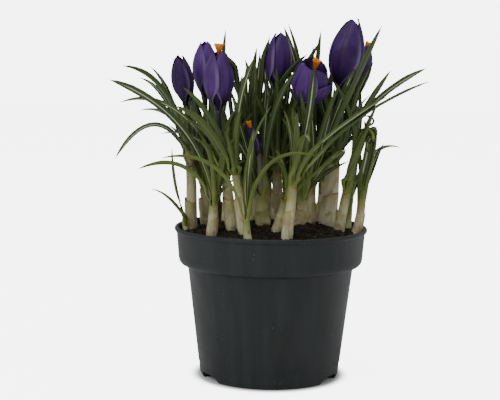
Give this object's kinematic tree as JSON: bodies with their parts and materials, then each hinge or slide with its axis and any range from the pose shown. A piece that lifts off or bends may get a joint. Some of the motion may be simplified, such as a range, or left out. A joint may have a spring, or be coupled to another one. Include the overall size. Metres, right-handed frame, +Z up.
{
  "type": "potted crocus",
  "caption": "Clump of flowering crocus in a round tapered nursery pot: channelled leaves, sheathed shoots and goblet flowers over a dome of potting soil.",
  "frame": {"origin": "centre of the pot's axis at the underside of its foot, on the ground", "axes": "+Z up along the pot's axis, -Y towards the viewer, +X to the viewer's right"},
  "size_m": [0.1974, 0.1602, 0.2234],
  "materials": {
    "pot_plastic": "satin, moulded",
    "peat": "rough, crumbly",
    "cream_sheath": "papery with brown stains",
    "brown_sheath": "papery",
    "leaf": "satin with a white midrib stripe",
    "young_leaf": "satin",
    "petal": "soft sheen, dark veins",
    "inner_petal": "soft sheen",
    "stigma": "matt, frilly"
  },
  "bodies": {
    "root": {"pot": "pot_plastic", "soil": "peat", "sheath_01": "cream_sheath", "sheath_02": "cream_sheath", "sheath_03": "cream_sheath", "sheath_04": "brown_sheath", "sheath_05": "cream_sheath", "sheath_06": "cream_sheath", "sheath_08": "cream_sheath", "sheath_09": "cream_sheath", "sheath_10": "cream_sheath", "sheath_11": "cream_sheath", "sheath_12": "cream_sheath", "sheath_13": "cream_sheath", "sheath_14": "cream_sheath", "sheath_16": "cream_sheath", "sheath_17": "brown_sheath", "sheath_18": "cream_sheath", "sheath_19": "cream_sheath", "leaves_01": "leaf", "leaves_02": "leaf", "leaves_03": "leaf", "leaves_04": "leaf", "leaves_05": "leaf", "leaves_06": "leaf", "leaves_07": "young_leaf", "leaves_08": "leaf", "leaves_09": "leaf", "leaves_10": "leaf", "leaves_11": "leaf", "leaves_12": "leaf", "leaves_13": "leaf", "leaves_14": "leaf", "leaves_15": "leaf", "leaves_16": "leaf", "leaves_17": "leaf", "leaves_18": "leaf", "leaves_19": "leaf", "leaves_20": "leaf", "leaves_21": "young_leaf", "leaves_22": "leaf", "leaves_23": "leaf", "outer_petals_1": "petal", "inner_petals_1": "inner_petal", "outer_petals_2": "petal", "inner_petals_2": "inner_petal", "outer_petals_3": "petal", "inner_petals_3": "inner_petal", "outer_petals_4": "petal", "inner_petals_4": "inner_petal", "outer_petals_5": "petal", "inner_petals_5": "inner_petal", "outer_petals_6": "petal", "inner_petals_6": "inner_petal", "outer_petals_7": "petal", "inner_petals_7": "inner_petal", "stigma_3": "stigma", "stigma_5": "stigma", "stigma_7": "stigma", "bud_8": "petal"}
  },
  "joints": []
}
